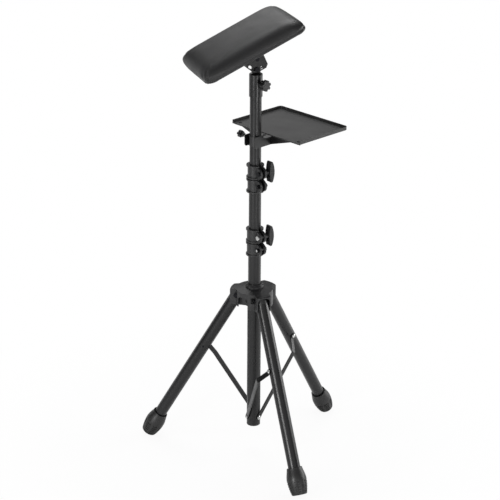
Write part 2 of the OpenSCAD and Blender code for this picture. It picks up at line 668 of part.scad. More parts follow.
// Flat steel braces, riveted beside the column and beside the leg and bowed between
function brace_side(bow, y) = [
  [-brace_w, brace_low + y], [brace_w*0.8, brace_low + y],
  [brace_len*brace_bend_share, bow + y],
  [brace_len - brace_w*0.75, brace_top + y], [brace_len + brace_w, brace_top + y]];
function swapped(p) = [p[1], p[0]];
module brace_profile(bow) polygon([
  for (p = brace_side(bow, 0)) swapped(p),
  for (k = [4:-1:0]) swapped(brace_side(bow, brace_t)[k])]);
module brace_outline() {
  translate([-brace_w/2, 0]) square([brace_w, brace_len]);
  circle(r = brace_w/2);
  translate([0, brace_len]) circle(r = brace_w/2);
}
module brace(i) color("#2b2b2b") brace_frame(i) difference() {
  intersection() {
    translate([-brace_w, 0, 0]) rotate([90, 0, 90]) linear_extrude(2*brace_w) brace_profile(brace_bows[i]);
    translate([0, brace_bow + 2*brace_t, 0]) rotate([90, 0, 0])
      linear_extrude(brace_bow + 2*brace_t) brace_outline();
  }
  y_cylinder(rivet_r + pin_gap, 0, brace_bow);
  translate([0, 0, brace_len]) y_cylinder(rivet_r + fit_gap, 0, brace_bow);
}
module brace_rivet(i) color("#c8c8c8") brace_frame(i) translate([0, 0, brace_len]) {
  y_cylinder(rivet_r, brace_top, brace_top + brace_t);
  y_rivet_head(brace_top + brace_t);
}

// Tray: a folded sheet with a rim on three sides and a lip turned down towards the mast
module tray_plan(inset) {
  translate([-tray_w/2 + inset, tray_offset]) square([tray_w - 2*inset, tray_depth - inset - tray_corner]);
  translate([-tray_w/2 + tray_corner, tray_offset])
    square([tray_w - 2*tray_corner, tray_depth - inset]);
  for (s = [-1, 1]) translate([s*(tray_w/2 - tray_corner), tray_far - tray_corner])
    circle(r = tray_corner - inset);
}
module tray() color("#4c4c4c") tray_frame() difference() {
  union() {
    translate([0, 0, tray_z - tray_t]) linear_extrude(tray_t + tray_rim) tray_plan(0);
    difference() {
      translate([-tray_w/2, tray_offset, tray_z - tray_lip]) cube([tray_w, tray_t, tray_lip]);
      translate([-plate_half_w - soft_gap, 0, 0]) cube([2*(plate_half_w + soft_gap), tray_far, plate_top]);
    }
  }
  translate([0, 0, tray_z]) linear_extrude(tray_rim + over) tray_plan(tray_t);
  for (s = [-1, 1]) translate([s*screw_spacing, web_v + flange_depth/2, tray_z - tray_rim])
    cylinder(r = screw_d/2 + fit_gap, h = 2*tray_rim);
}

// Tray clamp: a gusset under the tray, two cheeks beside the mast, and a weld nut for the knob
module cheek() translate([cheek_in, -cheek_reach, cheek_low]) difference() {
  union() {
    cube([clamp_t, cheek_reach + web_v + clamp_t/2, plate_top - cheek_low - clamp_t/2]);
    cube([clamp_t, cheek_reach + cheek_in*0.6, cheek_h]);
    translate([0, cheek_reach + cheek_in*0.6, 0])
      cube([clamp_t, tray_offset - cheek_in*0.6 - soft_gap, plate_top - cheek_low]);
  }
  translate([-over, 0, 0]) rotate([0, 90, 0]) difference() {
    translate([-cheek_h*0.2, -over, 0]) cube([cheek_h, cheek_h*0.2 + over, clamp_t + 2*over]);
    translate([-cheek_h*0.2, cheek_h*0.2, -over]) cylinder(r = cheek_h*0.2, h = clamp_t + 4*over);
  }
}
module tray_bracket() color("#262626") tray_frame() difference() {
  union() {
    for (s = [0, 1]) mirror([s, 0, 0]) cheek();
    translate([0, web_v + clamp_t, 0]) rotate([90, 0, 0]) linear_extrude(clamp_t) polygon([
      [-cheek_out, cheek_low], [cheek_out, cheek_low],
      [gusset_half_w, plate_top - clamp_t], [gusset_half_w, plate_top - clamp_t/2],
      [-gusset_half_w, plate_top - clamp_t/2], [-gusset_half_w, plate_top - clamp_t]]);
    translate([-flange_half_w, web_v, plate_top - clamp_t])
      cube([2*flange_half_w, flange_depth, clamp_t]);
    translate([0, 0, plate_top - clamp_t]) linear_extrude(clamp_t) polygon([
      [-plate_half_w, web_v + clamp_t], [-plate_half_w, cheek_in], [-cheek_out*0.9, 0],
      [cheek_out*0.9, 0], [plate_half_w, cheek_in], [plate_half_w, web_v + clamp_t]]);
    on_cheek() translate([0, 0, cheek_in]) cylinder(r = screw_d*1.6, h = clamp_t*3);
  }
  translate([0, 0, cheek_low - over]) cylinder(r = cheek_in, h = cheek_h*2);
  translate([-cheek_in, -cheek_reach*2, cheek_low - over])
    cube([2*cheek_in, cheek_reach*2, cheek_h*2]);
  on_cheek() cylinder(r = screw_d*0.75 + pin_gap, h = tray_w);
  for (s = [-1, 1]) translate([s*screw_spacing, web_v + flange_depth/2, cheek_low])
    cylinder(r = screw_d/2 + fit_gap, h = cheek_h*2);
  translate([screw_d, (cheek_in + web_v)/2, cheek_low]) cylinder(r = screw_d/2 + fit_gap, h = cheek_h*2);
}
module pan_screw(z, len) translate([0, 0, z]) {
  translate([0, 0, -len]) cylinder(r = screw_d/2, h = len);
  cylinder(r1 = screw_head_d/2, r2 = screw_head_d*0.35, h = screw_head_t);
}
module tray_screws() color("#3a3a3a") tray_frame() {
  for (s = [-1, 1]) translate([s*screw_spacing, web_v + flange_depth/2, 0])
    pan_screw(tray_z, tray_t + clamp_t*2);
  translate([screw_d, (cheek_in + web_v)/2, 0]) pan_screw(plate_top, clamp_t*2);
}
module tray_liner() color("#151515") tray_frame()
  tube(top_r + slide_gap + liner_t, top_r + slide_gap, cheek_low + (cheek_h - liner_h)/2, liner_h);
// Star knob on a round neck
module star_knob(r, lobes, t, neck_r, neck) {
  half = 90/lobes;
  flute_r = r*(1 + knob_valley_share*knob_valley_share - 2*knob_valley_share*cos(half))
    /(2*cos(half) - 2*knob_valley_share);
  difference() {
    union() {
      cylinder(r = r, h = t);
      translate([0, 0, -neck]) cylinder(r = neck_r, h = neck);
    }
    translate([0, 0, -neck - over]) cylinder(r = screw_d*0.75 + fit_gap, h = neck + t/2 + over);
    for (k = [0:lobes - 1]) rotate([0, 0, 360*k/lobes + 2*half])
      translate([r*knob_valley_share + flute_r, 0, -over]) cylinder(r = flute_r, h = t + 2*over);
  }
}
module tray_knob() color("#161616") tray_frame() on_cheek() translate([0, 0, star_reach - star_t])
  star_knob(star_r, 5, star_t, star_r*0.5, star_neck);
module tray_knob_screw() color("#c8c8c8") tray_frame() on_cheek()
  translate([0, 0, top_r + slide_gap + liner_t + tip_gap])
    cylinder(r = screw_d*0.75, h = star_reach - star_t/2 - top_r - slide_gap - liner_t - tip_gap);

// Arm rest socket: a sleeve over the top tube, closed by a head with a tongue
module socket_sleeve() color("#2b2b2b") at_mast() difference() {
  union() {
    tube(sleeve_r, sleeve_ri, socket_z, socket_h);
    translate([0, 0, socket_z + socket_knob_h]) rotate([0, 0, socket_knob_azimuth]) rotate([0, 90, 0])
      cylinder(r = screw_d*1.7, h = sleeve_r + socket_wall*2);
  }
  translate([0, 0, socket_z - over]) cylinder(r = sleeve_ri, h = socket_h + 2*over);
  translate([0, 0, socket_z + socket_knob_h]) rotate([0, 0, socket_knob_azimuth]) rotate([0, 90, 0])
    cylinder(r = screw_d*0.75 + pin_gap, h = sleeve_r*2);
}
module socket_knob() color("#161616") socket_knob_frame()
  translate([0, 0, socket_knob_reach - socket_knob_t])
    star_knob(socket_knob_d/2, 7, socket_knob_t, socket_knob_d*0.24,
      socket_knob_reach - socket_knob_t - sleeve_r - socket_wall*2 - touch_gap);
module socket_knob_screw() color("#c8c8c8") socket_knob_frame() translate([0, 0, top_r + tip_gap])
  cylinder(r = screw_d*0.75, h = socket_knob_reach - socket_knob_t/2 - top_r - tip_gap);
module socket_head() color("#232323") difference() {
  union() {
    at_mast() translate([0, 0, top_top + touch_gap]) cylinder(r = sleeve_ri - fit_gap, h = head_plug);
    at_mast() translate([0, 0, socket_top]) rotate_extrude() intersection() {
      scale([1, head_dome/sleeve_r]) circle(r = sleeve_r);
      square([sleeve_r, head_dome]);
    }
    head_frame() translate([-tongue_w/2, -tongue_half, socket_top - tilt_z])
      cube([tongue_w, tongue_t, tilt_z - socket_top]);
    head_frame() y_cylinder(tongue_w/2, -tongue_half, tongue_half);
  }
  head_frame() y_cylinder(tilt_r + pin_gap, -tongue_t, tongue_t);
  head_frame() translate([0, 0, -slot_r]) y_cylinder(tilt_r + fit_gap, -tongue_t, tongue_t);
}

// Tilting bracket: two cheeks with an arc slot, on a base plate under the pad
bracket_in = cheek_gap;
bracket_out = bracket_in + bracket_t;
module bolt_across(head_y, nut_y) {
  y_cylinder(tilt_r, head_y, nut_y + tilt_head_t*1.4);
  y_cylinder(tilt_head_r, head_y - tilt_head_t, head_y);
}
module tilt_lock_bolt() color("#d0d0d0") head_frame() translate([0, 0, -slot_r])
  bolt_across(-bracket_out - soft_gap, bracket_out + soft_gap);
module tilt_lock_nut() color("#d0d0d0") head_frame() translate([0, 0, -slot_r]) difference() {
  y_hex(tilt_head_r, bracket_out + soft_gap, bracket_out + soft_gap + tilt_head_t);
  y_cylinder(tilt_r + fit_gap, 0, bracket_out + 2*tilt_head_t);
}
module tilt_pivot_bolt() color("#d0d0d0") tilt_frame() bolt_across(-bracket_out, bracket_out);
module tilt_pivot_nut() color("#d0d0d0") tilt_frame() difference() {
  y_hex(tilt_head_r, bracket_out, bracket_out + tilt_head_t);
  y_cylinder(tilt_r + fit_gap, 0, bracket_out + 2*tilt_head_t);
}
slot_half = tilt_r + soft_gap;
slot_edge = slot_r + slot_half + bracket_t*1.5;
// Pie from one angle to another, wider than the slot's radius, in degrees from straight down
module slot_pie() polygon([[0, 0], for (a = [slot_from:(slot_to - slot_from)/6:slot_to])
  [-2*slot_r*sin(a), -2*slot_r*cos(a)]]);
module slot_outline() {
  intersection() {
    difference() {
      circle(r = slot_r + slot_half);
      circle(r = slot_r - slot_half);
    }
    slot_pie();
  }
  for (a = [slot_from, slot_to]) translate([-slot_r*sin(a), -slot_r*cos(a)]) circle(r = slot_half);
}
// Side view of a cheek: square to the pad at the high end, cut back in facets round the slot
module cheek_outline() difference() {
  polygon([
    [-slot_edge, pad_rise - bracket_t], [-slot_edge, -slot_edge*0.16],
    [-slot_edge*0.66, -slot_edge*0.8], [-slot_edge*0.34, -slot_edge*0.97],
    [slot_edge*0.36, -slot_edge*0.97], [slot_edge*0.58, -slot_edge*0.76],
    [slot_edge*0.58, pad_rise - bracket_t]]);
  slot_outline();
  circle(r = tilt_r + fit_gap);
}
base_low = pad_len*base_len_shares[0];
base_high = pad_len*base_len_shares[1];
module tilt_bracket() color("#2b2b2b") tilt_frame() {
  for (s = [0, 1]) mirror([0, s, 0]) translate([0, bracket_out, 0]) rotate([90, 0, 0])
    linear_extrude(bracket_t) cheek_outline();
  difference() {
    translate([base_low, -base_w/2, pad_rise - bracket_t]) cube([base_high - base_low, base_w, bracket_t]);
    pad_screw_places() translate([0, 0, pad_rise - bracket_t - over])
      cylinder(r = screw_d/2 + fit_gap, h = bracket_t + 2*over);
  }
}
module pad_screw_places() for (x = [base_low + screw_head_d, base_high - screw_head_d], s = [-1, 1])
  translate([x, s*(base_w/2 - screw_head_d), 0]) children();
module pad_screws() color("#3a3a3a") tilt_frame() pad_screw_places()
  translate([0, 0, pad_rise - bracket_t]) mirror([0, 0, 1]) pan_screw(0, bracket_t + board_t*0.7);

// Pad: a base board wrapped in the cover, and the crowned cushion on it
module pad_frame() tilt_frame() translate([-pad_shift, 0, pad_rise]) children();
module pad_plan() {
  square([pad_len - 2*pad_corner, pad_w], center = true);
  square([pad_len, pad_w - 2*pad_corner], center = true);
  for (sx = [-1, 1], sy = [-1, 1]) translate([sx*(pad_len/2 - pad_corner), sy*(pad_w/2 - pad_corner)])
    circle(r = pad_corner);
}
module pad_board() color("#1d1d1d") difference() {
  pad_frame() linear_extrude(board_t) pad_plan();
  tilt_frame() pad_screw_places() translate([0, 0, pad_rise - over])
    cylinder(r = screw_d/2 + fit_gap, h = board_t*0.7 + over);
}
// Points round the pad's outline: an arc at each corner, then points along the side after it
corner_steps = 6;
side_steps = [6, 4];
pad_half = [pad_len/2 - pad_corner, pad_w/2 - pad_corner];
corner_signs = [[1, 1], [-1, 1], [-1, -1], [1, -1]];
function corner_point(k, a) = [corner_signs[k][0]*pad_half[0] + pad_corner*cos(90*k + a),
  corner_signs[k][1]*pad_half[1] + pad_corner*sin(90*k + a)];
outline_points = [for (k = [0:3]) each concat(
  [for (j = [0:corner_steps]) corner_point(k, 90*j/corner_steps)],
  [for (j = [1:side_steps[k%2]]) let (t = j/(side_steps[k%2] + 1))
    corner_point(k, 90)*(1 - t) + corner_point((k + 1)%4, 0)*t])];
cushion_steps = len(outline_points);
// Rings from the seam over the shoulder to the crown: height and inset as shares of their whole,
// then the share of the outline that is left
cushion_ring_shares = [[0, 0, 1], [0.08, 0, 1], [0.36, 0.03, 1], [0.5, 0.1, 1], [0.64, 0.24, 1],
  [0.76, 0.42, 1], [0.85, 0.61, 1], [0.91, 0.8, 1], [0.94, 1, 1], [0.965, 1, 0.86],
  [0.99, 1, 0.5], [1, 1, 0.14]];
rings = len(cushion_ring_shares);
function ring_point(p, q) = let (seam = q[0] == 0 ? cushion_seam : 0,
  end_in = seam + q[1]*(p[0] < 0 ? crown_low_inset : crown_high_inset),
  side_in = seam + q[1]*(p[1] < 0 ? crown_near_inset : crown_far_inset) - cushion_bulge*sin(180*q[0]))
  [p[0]*(1 - 2*end_in/pad_len)*q[2] - cushion_lean*sin(90*q[0]), p[1]*(1 - 2*side_in/pad_w)*q[2],
    cushion_h*q[0]];
cushion_points = concat(
  [for (q = cushion_ring_shares, k = [0:cushion_steps - 1]) ring_point(outline_points[k], q)],
  [[0, 0, 0], [-cushion_lean, 0, cushion_h]]);
cushion_faces = concat(
  [for (j = [0:rings - 2], k = [0:cushion_steps - 1]) let (m = (k + 1)%cushion_steps)
    [j*cushion_steps + k, (j + 1)*cushion_steps + k, (j + 1)*cushion_steps + m]],
  [for (j = [0:rings - 2], k = [0:cushion_steps - 1]) let (m = (k + 1)%cushion_steps)
    [j*cushion_steps + k, (j + 1)*cushion_steps + m, j*cushion_steps + m]],
  [for (k = [0:cushion_steps - 1]) [k, (k + 1)%cushion_steps, rings*cushion_steps]],
  [for (k = [0:cushion_steps - 1]) [(rings - 1)*cushion_steps + (k + 1)%cushion_steps,
    (rings - 1)*cushion_steps + k, rings*cushion_steps + 1]]);
module pad_cushion() color("#1c1c1c") pad_frame() translate([0, 0, board_t])
  polyhedron(points = cushion_points, faces = cushion_faces);

column_tube();
lower_tube();
column_plug();
column_rivets();
lower_collar();
lower_clamp_bolt();
lower_collar_bolt();
lower_collar_nut();
lower_wing_knob();
hub();
hub_bush();
hub_lock_ring();
hub_pivot_bolts();
hub_pivot_nuts();
leg_tube(0);  // leg_tube_right
leg_tube(1);  // leg_tube_left
leg_tube(2);  // leg_tube_front
leg_cap(0);  // leg_cap_right
leg_cap(1);  // leg_cap_left
leg_cap(2);  // leg_cap_front
leg_rivet(0);  // leg_rivet_right
leg_rivet(1);  // leg_rivet_left
leg_rivet(2);  // leg_rivet_front
foot(0);  // foot_right
foot(1);  // foot_left
foot(2);  // foot_front
brace(0);  // brace_right
brace(1);  // brace_left
brace(2);  // brace_front
brace_rivet(0);  // brace_rivet_right
brace_rivet(1);  // brace_rivet_left
brace_rivet(2);  // brace_rivet_front
mid_guide();
mid_tube();
upper_collar();
upper_clamp_bolt();
upper_collar_bolt();
upper_collar_nut();
upper_wing_knob();
top_guide();
top_tube();
tray_liner();
tray();
tray_bracket();
tray_screws();
tray_knob();
tray_knob_screw();
socket_sleeve();
socket_head();
socket_knob();
socket_knob_screw();
tilt_lock_bolt();
tilt_lock_nut();
tilt_bracket();
tilt_pivot_bolt();
tilt_pivot_nut();
pad_board();
pad_cushion();
pad_screws();
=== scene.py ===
# %% [markdown]
# # An arm rest stand for a tattoo studio
# A tripod of powder-coated steel tube carries a telescoping mast. A small tray is clamped to the
# mast, and a padded arm rest tilts at its very top. The frame comes from a measured model, so
# every piece is already in its real place, in metres. This lesson dresses it: it gives each
# surface the finish of its real material, and sews the cushion.

# %% The measured frame
import math
import bmesh
import bpy
from mathutils import Matrix, Vector
from mathutils.bvhtree import BVHTree


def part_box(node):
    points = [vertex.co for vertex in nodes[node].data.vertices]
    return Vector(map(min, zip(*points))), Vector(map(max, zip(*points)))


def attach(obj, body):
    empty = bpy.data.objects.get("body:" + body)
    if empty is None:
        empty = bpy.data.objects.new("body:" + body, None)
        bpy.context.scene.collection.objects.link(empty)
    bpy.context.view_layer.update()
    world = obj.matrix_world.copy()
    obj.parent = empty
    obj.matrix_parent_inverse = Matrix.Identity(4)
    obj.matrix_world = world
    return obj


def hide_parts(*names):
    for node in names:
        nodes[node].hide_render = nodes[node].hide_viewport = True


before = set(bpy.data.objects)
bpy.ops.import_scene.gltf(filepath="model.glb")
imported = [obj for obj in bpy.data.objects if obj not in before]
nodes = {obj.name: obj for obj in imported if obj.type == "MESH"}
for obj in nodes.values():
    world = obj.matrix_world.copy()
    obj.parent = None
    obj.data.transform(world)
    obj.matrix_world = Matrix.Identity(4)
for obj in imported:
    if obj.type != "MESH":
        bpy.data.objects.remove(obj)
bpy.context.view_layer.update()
MM = 0.001

# %% [markdown]
# ## The mast is the ruler
# The outer tube of the mast stands upright, so the middle of its box is the axis that everything
# else hangs on. The pad turns about a bolt at the top: its long side points 20.4 degrees round
# from the x axis and climbs at 24.6 degrees. A small matrix keeps that slanted place, and lets
# the cushion be worked on as if it lay flat.

# %% Mast axis and the pad's own axes
low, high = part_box("column_tube")
mast = Vector(((low.x + high.x)/2, (low.y + high.y)/2, 0))
low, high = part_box("tilt_pivot_bolt")
pivot = (low + high)/2
PAD_HEADING, PAD_TILT = math.radians(20.4), math.radians(24.6)
pad_place = (Matrix.Translation((mast.x, mast.y, pivot.z)) @ Matrix.Rotation(PAD_HEADING, 4, "Z")
             @ Matrix.Rotation(-PAD_TILT, 4, "Y"))
to_pad = pad_place.inverted()
print("mast axis:", [round(c, 4) for c in mast], "pivot height:", round(pivot.z, 4))

# %% [markdown]
# ## The camera
# A catalogue picture like this one is taken from a few metres away with a long lens, so upright
# tubes stay nearly parallel. The camera stands 3.9 m in front of the mast and 2.17 m up, looks
# down 22.6 degrees, and is rolled and turned by a hair.

# %% Camera
CAMERA_BACK, CAMERA_UP = 3.89393, 2.17225


def put(name, data):
    """An object with its data, linked into the scene."""
    made = bpy.data.objects.new(name, data)
    bpy.context.scene.collection.objects.link(made)
    return made


camera = put("camera", bpy.data.cameras.new("camera"))
bpy.context.scene.camera = camera
camera.data.sensor_width, camera.data.lens = 36, 121.57
pitch, roll, yaw = 0.3937242, -0.0061766, -0.0029852
ahead = Vector((math.sin(yaw)*math.cos(pitch), math.cos(yaw)*math.cos(pitch), -math.sin(pitch)))
level = Vector((math.cos(yaw), -math.sin(yaw), 0))
above = level.cross(ahead)
right = math.cos(roll)*level - math.sin(roll)*above
upward = math.sin(roll)*level + math.cos(roll)*above
camera.matrix_world = (Matrix.Translation(mast + Vector((0, -CAMERA_BACK, CAMERA_UP)))
                       @ Matrix((right, upward, -ahead)).transposed().to_4x4())
bpy.context.scene.view_settings.view_transform = "Standard"
print("lens:", camera.data.lens, "mm")

# %% [markdown]
# ## Helpers for every material
# Colours are noted as the hex values that a colour picker shows, and Blender wants linear light,
# so one function converts them. Another adds a node, sets it up and links it in one line,
# which keeps a material short enough to read like a recipe. No real gloss is even, so a third
# lets the roughness drift with a noise, and the last one links up a skin's colour, gloss and relief.

# %% Colour and node helpers
def linear(hex_code):
    """A linear RGBA colour from an sRGB hex code."""
    parts = [int(hex_code[i:i + 2], 16)/255 for i in (1, 3, 5)]
    return tuple(c/12.92 if c <= 0.04045 else ((c + 0.055)/1.055)**2.4 for c in parts) + (1.0,)


def add(tree, kind, inputs=None, **settings):
    """A new node of a kind, with its settings, its plain values and its links."""
    node = tree.nodes.new("ShaderNode" + kind)
    for name, value in settings.items():
        setattr(node, name, value)
    for name, value in (inputs or {}).items():
        if isinstance(value, bpy.types.NodeSocket):
            tree.links.new(value, node.inputs[name])
        else:
            node.inputs[name].default_value = value
    return node


def blank(name):
    """An empty material with its node tree and its main shader."""
    material = bpy.data.materials.new(name)
    material.use_nodes = True
    return material, material.node_tree, material.node_tree.nodes["Principled BSDF"]


def drifting(tree, noise, least, most):
    """A value that drifts between two limits as a noise does."""
    return add(tree, "MapRange", {"Value": noise.outputs["Fac"], "From Min": 0.3, "From Max": 0.7,
                                  "To Min": least, "To Max": most})


def link_skin(tree, skin, tint, gloss, bump, ior):
    """Links a skin's colour, gloss and relief, and sets its IOR."""
    tree.links.new(tint.outputs["Color"], skin.inputs["Base Color"])
    tree.links.new(gloss.outputs["Result"], skin.inputs["Roughness"])
    tree.links.new(bump.outputs["Normal"], skin.inputs["Normal"])
    skin.inputs["IOR"].default_value = ior


print("black #101010 is", round(linear("#101010")[0], 4), "in linear light")

# %% [markdown]
# ## Powder-coated steel
# The tubes, the braces and the tray are steel with a baked polyester powder coat. The powder melts
# into a skin with a faint orange peel, waves 1 to 2 mm long, that breaks up a highlight without
# dulling it. A coat like this has an IOR of about 1.5 and is no metal to the eye. One noise
# makes the peel, drawn 3 mm long here, coarser than the real one, so that it shows. A slow second
# noise shifts tint and gloss a little, as handling does. The tray's powder is greyer and duller.

# %% Powder coat
def powder_coat(name, hex_code, rough, peel_mm, peel_height_mm):
    """Baked powder coat with waves of a real size."""
    material, tree, skin = blank(name)
    place = add(tree, "TexCoord").outputs["Object"]
    peel = add(tree, "TexNoise", {"Vector": place, "Scale": 1/(peel_mm*MM), "Detail": 2.0})
    wear = add(tree, "TexNoise", {"Vector": place, "Scale": 1/(60*MM), "Detail": 4.0})
    gloss = drifting(tree, wear, rough - 0.05, rough + 0.06)
    tint = add(tree, "MixRGB", {"Fac": wear.outputs["Fac"], "Color1": linear(hex_code),
                                "Color2": tuple(c*1.25 for c in linear(hex_code)[:3]) + (1.0,)})
    bump = add(tree, "Bump", {"Height": peel.outputs["Fac"], "Strength": 0.5,
                              "Distance": peel_height_mm*MM})
    link_skin(tree, skin, tint, gloss, bump, 1.5)
    return material


steel_black = powder_coat("steel_tube_black_powder_coat", "#0d0d0e", rough=0.3,
                          peel_mm=3.0, peel_height_mm=0.03)
tray_grey = powder_coat("sheet_steel_grey_texture_powder_coat", "#272727", rough=0.5,
                        peel_mm=3.0, peel_height_mm=0.012)
print("powder coats:", steel_black.name, tray_grey.name)

# %% [markdown]
# ## Plated fasteners
# The rivets of the column and the braces, the lower collar's bolts, the screws of the tray's and
# the socket's knobs and the staples are electroplated with zinc: a bright, slightly cold grey,
# soft rather than mirror-like, with a faint cloudiness from the bath. The other nuts, bolts,
# screws and rivets are blackened in a hot salt bath, which leaves a thin dark oxide on the steel.
# Both are true metals, so metallic is 1 and the IOR stays at its default.

# %% Plated steel
def plated(name, dark_hex, bright_hex, rough):
    """Steel with a plated or blackened skin and a cloudy gloss."""
    material, tree, skin = blank(name)
    place = add(tree, "TexCoord").outputs["Object"]
    cloud = add(tree, "TexNoise", {"Vector": place, "Scale": 1/(3*MM), "Detail": 3.0})
    gloss = drifting(tree, cloud, rough - 0.07, rough + 0.07)
    tint = add(tree, "MixRGB", {"Fac": cloud.outputs["Fac"], "Color1": linear(dark_hex),
                                "Color2": linear(bright_hex)})
    tree.links.new(tint.outputs["Color"], skin.inputs["Base Color"])
    tree.links.new(gloss.outputs["Result"], skin.inputs["Roughness"])
    skin.inputs["Metallic"].default_value = 1.0
    return material


zinc = plated("steel_zinc_plated", "#b9bbbd", "#dcdcd8", 0.27)
oxide = plated("steel_black_oxide", "#1c1c1e", "#2c2c2f", 0.36)
print("metals:", zinc.name, oxide.name)

# %% [markdown]
# ## Moulded plastics and rubber
# The hub, the collars and the knobs are injection-moulded nylon. The mould is spark-eroded, which
# leaves a fine even grain; here it is 0.7 mm across, coarser than the real one so that it shows.
# The feet are black rubber, with a wider and slightly deeper grain. A slow noise gives them all
# a faint grey bloom, where dust sits in the pores. The sliding bushes, and the stained plywood of
# the pad's board, come from the same function.

# %% Moulded grain
def moulded(name, hex_code, rough, grain_mm, grain_height_mm, bloom_hex):
    """A moulded polymer with an eroded grain and a faint bloom."""
    material, tree, skin = blank(name)
    place = add(tree, "TexCoord").outputs["Object"]
    grain = add(tree, "TexNoise", {"Vector": place, "Scale": 1/(grain_mm*MM), "Detail": 1.0})
    flow = add(tree, "TexNoise", {"Vector": place, "Scale": 1/(18*MM), "Detail": 5.0,
                                  "Roughness": 0.6})
    gloss = drifting(tree, flow, rough - 0.05, rough + 0.05)
    tint = add(tree, "MixRGB", {"Fac": flow.outputs["Fac"], "Color1": linear(hex_code),
                                "Color2": linear(bloom_hex)})
    bump = add(tree, "Bump", {"Height": grain.outputs["Fac"], "Strength": 0.6,
                              "Distance": grain_height_mm*MM})
    link_skin(tree, skin, tint, gloss, bump, 1.53)
    return material


nylon = moulded("nylon_black_spark_eroded", "#141415", 0.4, 0.7, 0.05, "#222223")
knob_nylon = moulded("nylon_black_satin_knob", "#121213", 0.3, 0.7, 0.03, "#1d1d1e")
rubber = moulded("rubber_black_moulded", "#121212", 0.42, 0.9, 0.06, "#202020")
bush_nylon = moulded("acetal_black_bush", "#1a1a1b", 0.35, 0.7, 0.02, "#262627")
plywood = moulded("plywood_board_black_stain", "#151413", 0.7, 0.8, 0.12, "#262422")
print("moulded:", nylon.name, knob_nylon.name, rubber.name)

# %% [markdown]
# ## Faux leather
# The pad is wrapped in black polyurethane faux leather: a knitted cloth with an embossed, slightly
# glossy skin. The embossing is a net of fine valleys about 1.3 mm apart between soft pebbles, so a
# Voronoi distance to the cell edges makes the net, and a noise bends it so that no cell looks
# machine-made. The valleys are also painted a shade darker than the pebbles, as painted shade in the
# hollows of the grain. At arm's length it is only felt as a satin softening of the highlight.

# %% Faux leather
def faux_leather():
    """Embossed black faux leather with a satin skin."""
    material, tree, skin = blank("polyurethane_faux_leather_black")
    place = add(tree, "TexCoord").outputs["Object"]
    bend = add(tree, "TexNoise", {"Vector": place, "Scale": 1/(4*MM), "Detail": 2.0})
    bent = add(tree, "MixRGB", {"Fac": 0.001, "Color1": place, "Color2": bend.outputs["Color"]},
               blend_type="ADD")
    net = add(tree, "TexVoronoi", {"Vector": bent.outputs["Color"], "Scale": 1/(1.3*MM)},
              feature="DISTANCE_TO_EDGE")
    valley = add(tree, "MapRange", {"Value": net.outputs["Distance"], "From Min": 0.0,
                                    "From Max": 0.12, "To Min": 0.0, "To Max": 1.0})
    sheen = add(tree, "TexNoise", {"Vector": place, "Scale": 1/(45*MM), "Detail": 3.0})
    gloss = drifting(tree, sheen, 0.4, 0.48)
    # painted shade: the valleys of the net get the darker colour, the pebbles the lighter one
    tint = add(tree, "MixRGB", {"Fac": valley.outputs["Result"], "Color1": linear("#191919"),
                                "Color2": linear("#212122")})
    bump = add(tree, "Bump", {"Height": valley.outputs["Result"], "Strength": 0.35,
                              "Distance": 0.06*MM})
    link_skin(tree, skin, tint, gloss, bump, 1.5)
    return material


leather = faux_leather()
print("leather:", leather.name)

# %% [markdown]
# ## A finish for every carried-over sub-part
# Most of the measured solids have the right shape already, so they stay and only get their finish.
# Real edges are never razor-sharp: a weld closes the seams of the imported mesh, and a narrow
# bevel on edges over 40 degrees lets each one catch a thin line of light. Normals weighted by
# face area keep the flat faces flat beside it. The tubes, with a width of 0 in the table, keep
# their own exact normals, because long thin faces would show as dark lines along them.

# %% Finishes by sub-part
finishes = [
    (steel_black, 0, ["column_tube", "lower_tube", "mid_tube", "top_tube", "leg_tube",
                      "socket_sleeve"]),
    (steel_black, 0.35, ["brace", "tray_bracket", "socket_head", "tilt_bracket"]),
    (tray_grey, 0.8, ["tray"]),
    (zinc, 0.3, ["column_rivets", "tray_knob_screw", "socket_knob_screw", "brace_rivet",
                 "lower_collar_bolt", "lower_clamp_bolt"]),
    (oxide, 0.3, ["lower_collar_nut", "hub_pivot_bolts", "hub_pivot_nuts", "tilt_pivot_bolt",
                  "tilt_pivot_nut", "tilt_lock_bolt", "tilt_lock_nut", "upper_clamp_bolt",
                  "upper_collar_bolt", "upper_collar_nut", "leg_rivet", "tray_screws", "pad_screws"]),
    (nylon, 0.6, ["lower_collar", "upper_collar", "hub", "hub_lock_ring", "leg_cap"]),
    (knob_nylon, 1.0, ["lower_wing_knob", "upper_wing_knob", "tray_knob", "socket_knob"]),
    (bush_nylon, 0.3, ["hub_bush", "mid_guide", "top_guide", "tray_liner", "column_plug"]),
    (rubber, 0.6, ["foot"]),
    (plywood, 0.5, ["pad_board"]),
    (leather, 0.5, ["pad_cushion"]),
]


def family(node):
    """A sub-part's name without the leg that it belongs to."""
    for side in ("_right", "_left", "_front"):
        node = node.removesuffix(side)
    return node


SEAM_WELD, SHARP, AREA_WEIGHT = 0.002*MM, math.radians(40), 80


def soften(piece, width_mm):
    """Welds a mesh's seams and rounds its sharp edges a little."""
    piece.modifiers.new("weld", "WELD").merge_threshold = SEAM_WELD
    bevel = piece.modifiers.new("bevel", "BEVEL")
    bevel.limit_method, bevel.angle_limit = "ANGLE", SHARP
    bevel.width, bevel.segments = width_mm*MM, 2
    piece.modifiers.new("flat_faces_stay_flat", "WEIGHTED_NORMAL").weight = AREA_WEIGHT


def dress(piece, material):
    """Gives every slot of a piece one material."""
    if not piece.material_slots:
        piece.data.materials.append(material)
    for slot in piece.material_slots:
        slot.material = material


for material, width_mm, names in finishes:
    chosen = [n for n in nodes if family(n) in names]
    for n in chosen:
        dress(nodes[n], material)
        if width_mm:
            for face in nodes[n].data.polygons:
                face.use_smooth = True
            soften(nodes[n], width_mm)
    print(material.name, "on", len(chosen), "sub-parts")

